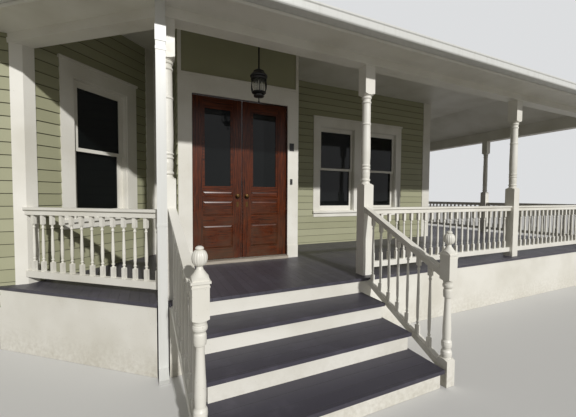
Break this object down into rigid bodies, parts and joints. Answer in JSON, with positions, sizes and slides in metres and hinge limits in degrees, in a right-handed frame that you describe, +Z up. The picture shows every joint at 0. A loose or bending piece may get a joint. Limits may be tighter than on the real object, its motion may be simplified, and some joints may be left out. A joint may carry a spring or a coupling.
{
  "type": "front porch",
  "caption": "Raised wooden front porch: wide steps between turned newels, a railed deck with turned posts, boxed eaves under a low roof, and glazed entrance doors in a projecting entry.",
  "frame": {"origin": "centre of the box on the ground", "axes": "+X along the front to the right as seen from the street, +Y from the street into the house, +Z up"},
  "size_m": [10.81, 5.851, 4.418],
  "materials": {
    "painted_trim": "cream gloss paint on wood, dusty in the corners",
    "painted_siding": "sage green satin paint on lapped boards",
    "painted_floor": "dark grey floor paint, scuffed",
    "varnished_wood": "red-brown varnish",
    "concrete": "rough rendered concrete",
    "clear_glass": "clear window glass",
    "shingles": "granular asphalt shingles",
    "coated_metal": "white coil-coated sheet metal",
    "old_brass": "handled brass",
    "black_iron": "black paint on metal"
  },
  "bodies": {
    "house_and_porch": {"wing_wall": "painted_siding", "angled_wall": "painted_siding", "entry_wall_left": "painted_siding", "entry_wall_right": "painted_siding", "entry_wall_top": "painted_siding", "main_wall": "painted_siding", "side_wall": "painted_siding", "upper_wall": "painted_siding", "foundation": "concrete", "corner_boards": "painted_trim", "angled_window_casing": "painted_trim", "angled_window_sashes": "painted_trim", "paired_window_casing": "painted_trim", "paired_window_sashes": "painted_trim", "window_glass": "clear_glass", "door_casing": "painted_trim", "entry_panel": "painted_siding", "door_frame": "varnished_wood", "door_hinges": "old_brass", "threshold": "varnished_wood", "entry_floor": "varnished_wood", "deck_floor": "painted_floor", "deck_skirt": "painted_trim", "stair_stringers": "painted_trim", "stair_risers": "painted_trim", "stair_treads": "painted_floor", "newel_left": "painted_trim", "newel_right": "painted_trim", "stair_rail_left": "painted_trim", "stair_rail_right": "painted_trim", "post_left": "painted_trim", "post_stair": "painted_trim", "post_middle": "painted_trim", "posts_far": "painted_trim", "railing_angled": "painted_trim", "railing_front": "painted_trim", "railing_corner": "painted_trim", "railing_side": "painted_trim", "beam": "painted_trim", "soffit": "painted_trim", "fascia": "painted_trim", "ceiling": "painted_trim", "roof": "shingles", "gutter": "coated_metal", "downspout": "coated_metal", "lantern": "black_iron", "lantern_glass": "clear_glass", "doorbell": "black_iron"},
    "left_leaf": {"left_door": "varnished_wood", "left_door_glass": "clear_glass", "left_door_hardware": "old_brass"},
    "right_leaf": {"right_door": "varnished_wood", "right_door_glass": "clear_glass", "right_door_hardware": "old_brass"}
  },
  "joints": [
    {"name": "left_door_hinge", "type": "hinge", "parent": "house_and_porch", "child": "left_leaf", "pos_m": [-2.658, -0.4315, 1.728], "axis": [0, 0, 1], "range_deg": [0, 90]},
    {"name": "right_door_hinge", "type": "hinge", "parent": "house_and_porch", "child": "right_leaf", "pos_m": [-1.336, -0.4315, 1.728], "axis": [0, 0, -1], "range_deg": [0, 90]}
  ]
}
